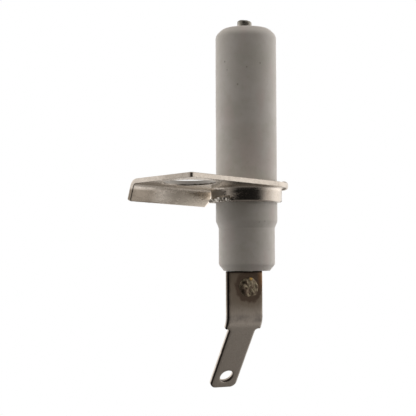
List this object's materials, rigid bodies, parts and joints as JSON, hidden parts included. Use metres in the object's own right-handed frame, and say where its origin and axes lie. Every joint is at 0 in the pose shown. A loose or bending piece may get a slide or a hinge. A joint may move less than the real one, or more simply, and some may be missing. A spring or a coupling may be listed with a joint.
{
  "type": "ignition electrode",
  "caption": "Straight ceramic spark electrode with a stamped offset flange, a short round tip and a bent push-on terminal blade.",
  "frame": {"origin": "on the ceramic axis at the foot of the full-size barrel, where it clears the flange's upper face", "axes": "+Z along the ceramic axis towards the spark tip; the flange's fixing tab points to -Y; +X is the tab's plain edge, opposite its lip"},
  "size_m": [0.015, 0.0268, 0.0615],
  "materials": {
    "alumina": "unglazed matt alumina, warm off-white with fine dark specks",
    "cement": "matt refractory cement",
    "rod_alloy": "heat-resistant alloy, oxidised dark grey",
    "flange_steel": "satin nickel-plated sheet steel",
    "blade_steel": "rolled stainless strip, slightly dulled",
    "weld_metal": "fused metal, brown and straw heat tint"
  },
  "bodies": {
    "root": {"ceramic_insulator": "alumina", "electrode_rod": "rod_alloy", "upper_cement_seal": "cement", "lower_cement_seal": "cement", "mounting_flange": "flange_steel", "collar_cement": "cement", "terminal_blade": "blade_steel", "weld_nugget": "weld_metal"}
  },
  "joints": []
}
